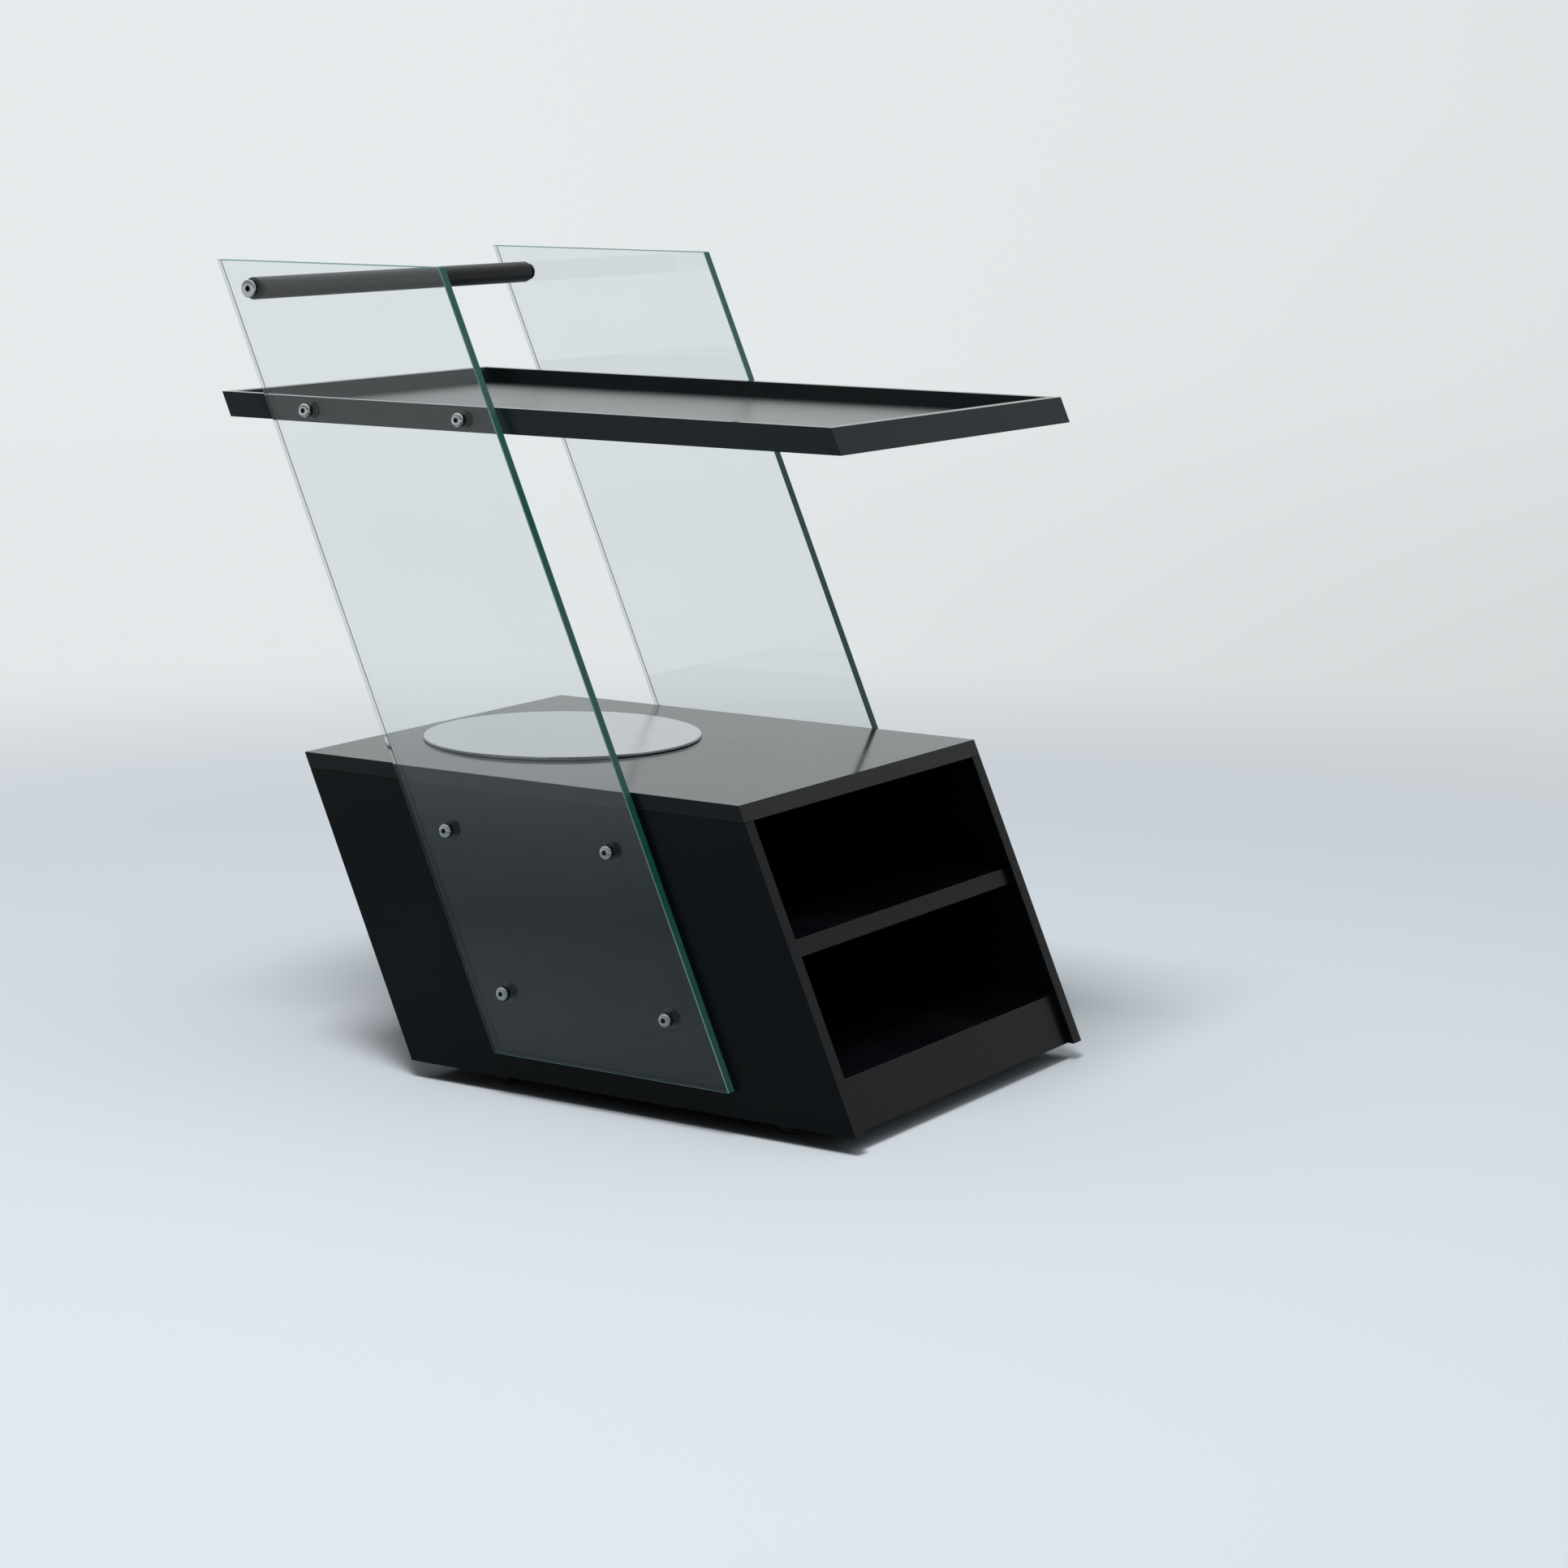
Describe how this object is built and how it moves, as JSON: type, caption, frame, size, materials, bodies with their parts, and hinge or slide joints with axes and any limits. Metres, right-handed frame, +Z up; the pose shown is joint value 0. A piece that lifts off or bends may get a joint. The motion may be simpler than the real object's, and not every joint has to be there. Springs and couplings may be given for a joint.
{
  "type": "hostess trolley",
  "caption": "Leaning black serving trolley: an open-fronted cabinet with a shelf on hidden swivel casters, with slanted clear glass side panels that carry a shallow tray and a push bar.",
  "frame": {"origin": "on the floor, under the middle of the trolley's overall length and width", "axes": "+Z up, +X to the cabinet's open front, +Y to the left of someone at the push bar"},
  "size_m": [0.8533, 0.5358, 0.912],
  "materials": {
    "black_lacquer": "black satin lacquer on board, glossy on the level faces",
    "clear_glass": "clear float glass with ground green edges",
    "stainless_steel": "satin stainless steel",
    "polished_steel": "polished stainless steel",
    "black_enamel": "black satin powder coat",
    "turned_aluminium": "turned",
    "brass": "turned",
    "clear_nylon": "translucent nylon",
    "black_nylon": "moulded nylon",
    "black_rubber": "matt rubber",
    "grey_tyre": "matt dark rubber tread",
    "zinc_plate": "zinc-plated pressed steel",
    "beech": "bare beech"
  },
  "bodies": {
    "root": {"right_side_panel": "black_lacquer", "left_side_panel": "black_lacquer", "top_panel": "black_lacquer", "bottom_board": "black_lacquer", "middle_shelf": "black_lacquer", "kick_panel": "black_lacquer", "rear_apron": "black_lacquer", "back_panel": "black_lacquer", "tray_floor": "black_lacquer", "tray_right_wall": "black_lacquer", "tray_left_wall": "black_lacquer", "tray_rear_wall": "black_lacquer", "tray_front_wall": "black_lacquer", "right_glass_panel": "clear_glass", "left_glass_panel": "clear_glass", "side_dowels": "beech", "top_dowels": "beech", "panel_bolts": "stainless_steel", "glass_bushings": "clear_nylon", "threaded_inserts": "brass", "glass_seats": "clear_nylon", "tray_spacers": "clear_nylon", "handle_bar": "black_enamel", "handle_end_plugs": "turned_aluminium", "handle_washers": "stainless_steel", "handle_screws": "stainless_steel", "caster_screws": "zinc_plate", "caster_rear_right_plate": "zinc_plate", "caster_rear_right_race": "black_nylon", "caster_rear_right_kingpin": "zinc_plate", "caster_rear_left_plate": "zinc_plate", "caster_rear_left_race": "black_nylon", "caster_rear_left_kingpin": "zinc_plate", "caster_front_right_plate": "zinc_plate", "caster_front_right_race": "black_nylon", "caster_front_right_kingpin": "zinc_plate", "caster_front_left_plate": "zinc_plate", "caster_front_left_race": "black_nylon", "caster_front_left_kingpin": "zinc_plate"},
    "disc": {"serving_disc": "polished_steel", "disc_pad_ring": "black_rubber"},
    "caster_rear_right_yoke": {"caster_rear_right_fork": "zinc_plate", "caster_rear_right_axle": "zinc_plate"},
    "caster_rear_right_wheel": {"caster_rear_right_hub": "black_nylon", "caster_rear_right_tyre": "grey_tyre"},
    "caster_rear_left_yoke": {"caster_rear_left_fork": "zinc_plate", "caster_rear_left_axle": "zinc_plate"},
    "caster_rear_left_wheel": {"caster_rear_left_hub": "black_nylon", "caster_rear_left_tyre": "grey_tyre"},
    "caster_front_right_yoke": {"caster_front_right_fork": "zinc_plate", "caster_front_right_axle": "zinc_plate"},
    "caster_front_right_wheel": {"caster_front_right_hub": "black_nylon", "caster_front_right_tyre": "grey_tyre"},
    "caster_front_left_yoke": {"caster_front_left_fork": "zinc_plate", "caster_front_left_axle": "zinc_plate"},
    "caster_front_left_wheel": {"caster_front_left_hub": "black_nylon", "caster_front_left_tyre": "grey_tyre"}
  },
  "joints": [
    {"name": "disc_lift", "type": "slide", "parent": "root", "child": "disc", "axis": [0, 0, 1], "range_m": [0, 0.12]},
    {"name": "caster_rear_right_swivel", "type": "hinge", "parent": "root", "child": "caster_rear_right_yoke", "pos_m": [-0.056, -0.192, 0.052], "axis": [0, 0, 1], "continuous": true},
    {"name": "caster_rear_right_roll", "type": "hinge", "parent": "caster_rear_right_yoke", "child": "caster_rear_right_wheel", "pos_m": [-0.056, -0.208, 0.019], "axis": [1, 0, 0], "continuous": true},
    {"name": "caster_rear_left_swivel", "type": "hinge", "parent": "root", "child": "caster_rear_left_yoke", "pos_m": [-0.056, 0.192, 0.052], "axis": [0, 0, 1], "continuous": true},
    {"name": "caster_rear_left_roll", "type": "hinge", "parent": "caster_rear_left_yoke", "child": "caster_rear_left_wheel", "pos_m": [-0.056, 0.176, 0.019], "axis": [1, 0, 0], "continuous": true},
    {"name": "caster_front_right_swivel", "type": "hinge", "parent": "root", "child": "caster_front_right_yoke", "pos_m": [0.32, -0.192, 0.052], "axis": [0, 0, 1], "continuous": true},
    {"name": "caster_front_right_roll", "type": "hinge", "parent": "caster_front_right_yoke", "child": "caster_front_right_wheel", "pos_m": [0.32, -0.208, 0.019], "axis": [1, 0, 0], "continuous": true},
    {"name": "caster_front_left_swivel", "type": "hinge", "parent": "root", "child": "caster_front_left_yoke", "pos_m": [0.32, 0.192, 0.052], "axis": [0, 0, 1], "continuous": true},
    {"name": "caster_front_left_roll", "type": "hinge", "parent": "caster_front_left_yoke", "child": "caster_front_left_wheel", "pos_m": [0.32, 0.176, 0.019], "axis": [1, 0, 0], "continuous": true}
  ]
}
